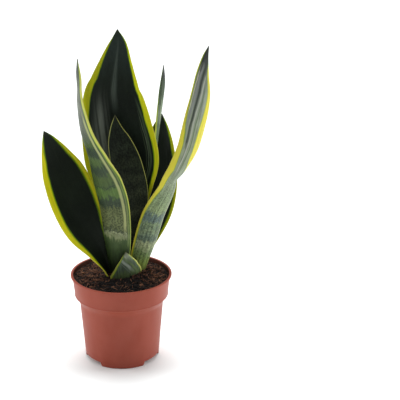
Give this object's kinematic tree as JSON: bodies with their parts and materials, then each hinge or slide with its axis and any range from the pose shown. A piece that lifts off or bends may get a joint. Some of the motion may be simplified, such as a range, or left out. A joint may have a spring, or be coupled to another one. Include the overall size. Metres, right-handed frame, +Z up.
{
  "type": "potted snake plant",
  "caption": "Snake plant with stiff sword-shaped leaves, banded green with yellow margins, growing in potting mix in a plain round terracotta-coloured nursery pot that stands on its own.",
  "frame": {"origin": "middle of the pot's base, on the plane that its feet stand on", "axes": "+Z up along the pot's axis; the camera of the picture looks along +Y, so -Y is the plant's front and +X is its right"},
  "size_m": [0.1993, 0.1235, 0.3992],
  "materials": {
    "pot_plastic": "matte",
    "potting_mix": "matte",
    "leaf": "satin",
    "rhizome": "matte",
    "bark": "matte"
  },
  "bodies": {
    "root": {"pot": "pot_plastic", "soil": "potting_mix", "rhizome": "rhizome", "leaf_tall_back": "leaf", "leaf_left": "leaf", "leaf_front_left": "leaf", "leaf_centre": "leaf", "leaf_right_back": "leaf", "leaf_right_twisted": "leaf", "leaf_thin_back": "leaf", "leaf_short_front": "leaf", "bark_chip_01": "bark", "bark_chip_02": "bark", "bark_chip_03": "bark", "bark_chip_04": "bark", "bark_chip_05": "bark", "bark_chip_06": "bark", "bark_chip_07": "bark", "bark_chip_08": "bark", "bark_chip_09": "bark", "bark_chip_10": "bark"}
  },
  "joints": []
}
